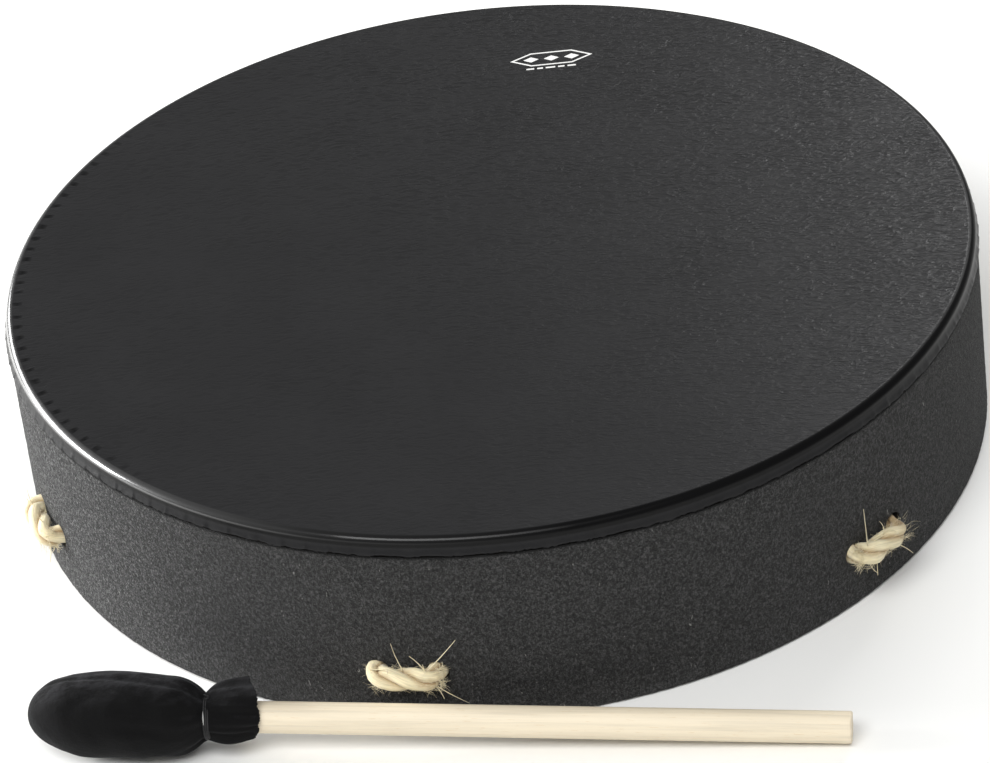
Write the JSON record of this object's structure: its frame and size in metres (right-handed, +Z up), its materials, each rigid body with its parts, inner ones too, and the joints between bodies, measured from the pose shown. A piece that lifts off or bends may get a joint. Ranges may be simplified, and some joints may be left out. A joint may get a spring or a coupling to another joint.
{
  "type": "frame drum",
  "caption": "Shallow round frame drum with a black film head, fleece-wrapped shell, laced rope handle and a padded beater.",
  "frame": {"origin": "centre of the open rim that the drum stands on", "axes": "+Z up along the drum's axis towards the head; -Y is the front, where the beater lies; +X is the viewer's right"},
  "size_m": [0.4102, 0.457, 0.0895],
  "materials": {
    "shell_fibre": "black resin-bonded wood fibre, satin",
    "head_film": "black laminated drumhead film with a fine wrinkled leather grain",
    "fleece": "charcoal needle-felt fleece",
    "rope": "three-strand natural fibre rope",
    "grip_cord": "natural fibre cord, woven round the crossing",
    "dowel": "pale sanded hardwood",
    "felt_core": "dense wool felt",
    "suede": "black suede",
    "tie_thread": "black waxed thread"
  },
  "bodies": {
    "drum": {"shell": "shell_fibre", "head_film": "head_film", "fleece_wrap": "fleece", "handle_rope_left": "rope", "handle_rope_front": "rope", "handle_rope_right": "rope", "grip_binding": "grip_cord"},
    "beater": {"beater_stick": "dowel", "beater_core": "felt_core", "beater_cover": "suede", "beater_tie": "tie_thread"}
  },
  "joints": [
    {"name": "beater_lift", "type": "slide", "parent": "drum", "child": "beater", "axis": [0, -0.6, 0.8], "range_m": [0, 0.15]}
  ]
}
